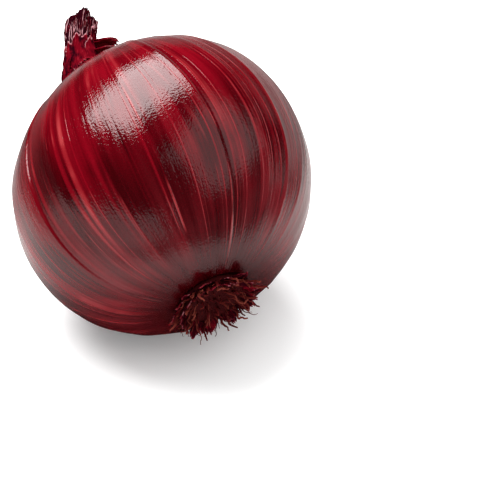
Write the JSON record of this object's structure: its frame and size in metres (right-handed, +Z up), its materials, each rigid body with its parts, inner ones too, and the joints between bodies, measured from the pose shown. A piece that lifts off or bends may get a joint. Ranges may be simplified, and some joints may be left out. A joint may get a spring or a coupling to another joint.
{
  "type": "red onion",
  "caption": "Whole red onion lying on its side, with glossy veined skin, a withered torn neck and a short dried root tuft.",
  "frame": {"origin": "centre of the small flat spot that the onion rests on", "axes": "+Z up; the growing axis lies over +Y, from the root tuft at -Y to the neck at +Y, where it rises 20.5 degrees"},
  "size_m": [0.0808, 0.101, 0.0801],
  "materials": {
    "glossy_skin": "glossy dark-crimson papery onion skin with fine meridional ridges, roughness 0.25",
    "dry_neck": "matt withered leaf sheaths, dark maroon with paler pink torn edges, roughness 0.7",
    "dry_roots": "matt dried roots and shreds of skin, dark maroon to tan brown, roughness 0.9"
  },
  "bodies": {
    "root": {"bulb": "glossy_skin", "dry_neck": "dry_neck", "root_tuft": "dry_roots"}
  },
  "joints": []
}
